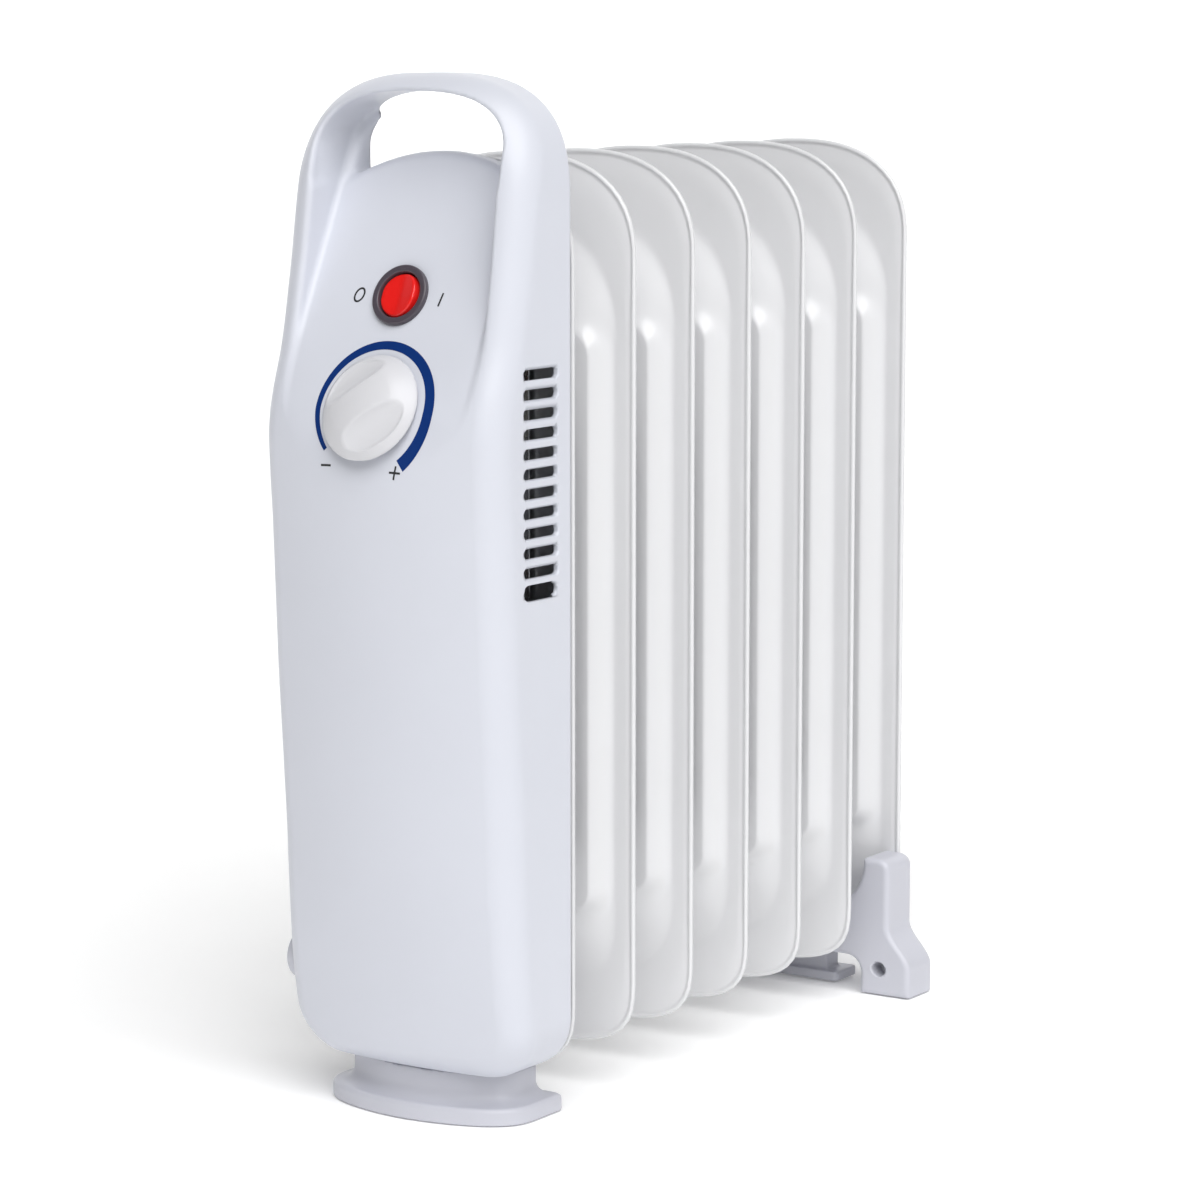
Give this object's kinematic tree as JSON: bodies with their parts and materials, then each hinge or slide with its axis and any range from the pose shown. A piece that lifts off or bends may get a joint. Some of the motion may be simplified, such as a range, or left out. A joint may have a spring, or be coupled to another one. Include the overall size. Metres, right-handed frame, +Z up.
{
  "type": "oil filled radiator heater",
  "caption": "Compact oil filled column radiator: pressed steel fins behind a tall control housing with carry handle, dial and switch, on two feet.",
  "frame": {"origin": "centre of the bounding box on the floor", "axes": "+Z up, control panel faces -Y, fins stack towards +Y, +X to the right of the panel"},
  "size_m": [0.134, 0.3135, 0.3777],
  "materials": {
    "housing_plastic": "satin moulded ABS",
    "knob_plastic": "glossy moulded",
    "fin_enamel": "gloss powder coat",
    "foot_plastic": "satin moulded",
    "zinc_steel": "zinc plated",
    "shield_aluminium": "bright sheet",
    "dark_plastic": "satin",
    "rocker_red": "translucent red",
    "lamp_glass": "clear neon",
    "ring_ink": "printed ink",
    "insulator": "matt",
    "black_plastic": "matt",
    "rubber_black": "matt",
    "wire_brown": "satin",
    "wire_blue": "satin",
    "wire_green": "satin",
    "brass": "machined",
    "element_steel": "oxidised"
  },
  "bodies": {
    "radiator": {"housing": "housing_plastic", "mounting_plate": "zinc_steel", "heat_shield": "shield_aluminium", "stud_spacers": "zinc_steel", "stud_nuts": "zinc_steel", "housing_screws": "zinc_steel", "thermostat_body": "insulator", "thermostat_nut": "zinc_steel", "dial_ring": "ring_ink", "switch_bezel": "dark_plastic", "switch_body": "black_plastic", "thermal_cutout": "black_plastic", "cutout_clip": "zinc_steel", "terminal_block": "insulator", "earth_screw": "brass", "wire_live": "wire_brown", "wire_neutral": "wire_blue", "wire_earth": "wire_green", "cord_gland": "rubber_black", "gland_nut": "insulator", "heating_element": "element_steel", "element_flange": "brass", "element_gasket": "rubber_black", "element_terminals": "insulator", "filler_plug": "zinc_steel", "fin_1_front": "fin_enamel", "fin_1_rear": "fin_enamel", "fin_2_front": "fin_enamel", "fin_2_rear": "fin_enamel", "fin_3_front": "fin_enamel", "fin_3_rear": "fin_enamel", "fin_4_front": "fin_enamel", "fin_4_rear": "fin_enamel", "fin_5_front": "fin_enamel", "fin_5_rear": "fin_enamel", "fin_6_front": "fin_enamel", "fin_6_rear": "fin_enamel", "fin_7_front": "fin_enamel", "fin_7_rear": "fin_enamel", "upper_collars": "fin_enamel", "lower_collars": "fin_enamel", "front_foot": "foot_plastic", "front_foot_screws": "zinc_steel", "front_foot_pads": "rubber_black", "rear_foot_front": "foot_plastic", "rear_foot_back": "foot_plastic", "rear_foot_screws": "zinc_steel", "rear_foot_pads": "rubber_black", "cord_hook": "foot_plastic"},
    "knob": {"knob": "knob_plastic", "thermostat_shaft": "zinc_steel"},
    "rocker": {"rocker": "rocker_red", "pilot_lamp": "lamp_glass"}
  },
  "joints": [
    {"name": "knob_turn", "type": "hinge", "parent": "radiator", "child": "knob", "pos_m": [0, -0.14515, 0.2605], "axis": [0, 0.9063, -0.4226], "range_deg": [-9, 263]},
    {"name": "rocker_tilt", "type": "hinge", "parent": "radiator", "child": "rocker", "pos_m": [0, -0.12634, 0.29895], "axis": [0, 0.4226, 0.9063], "range_deg": [0, 20]}
  ]
}
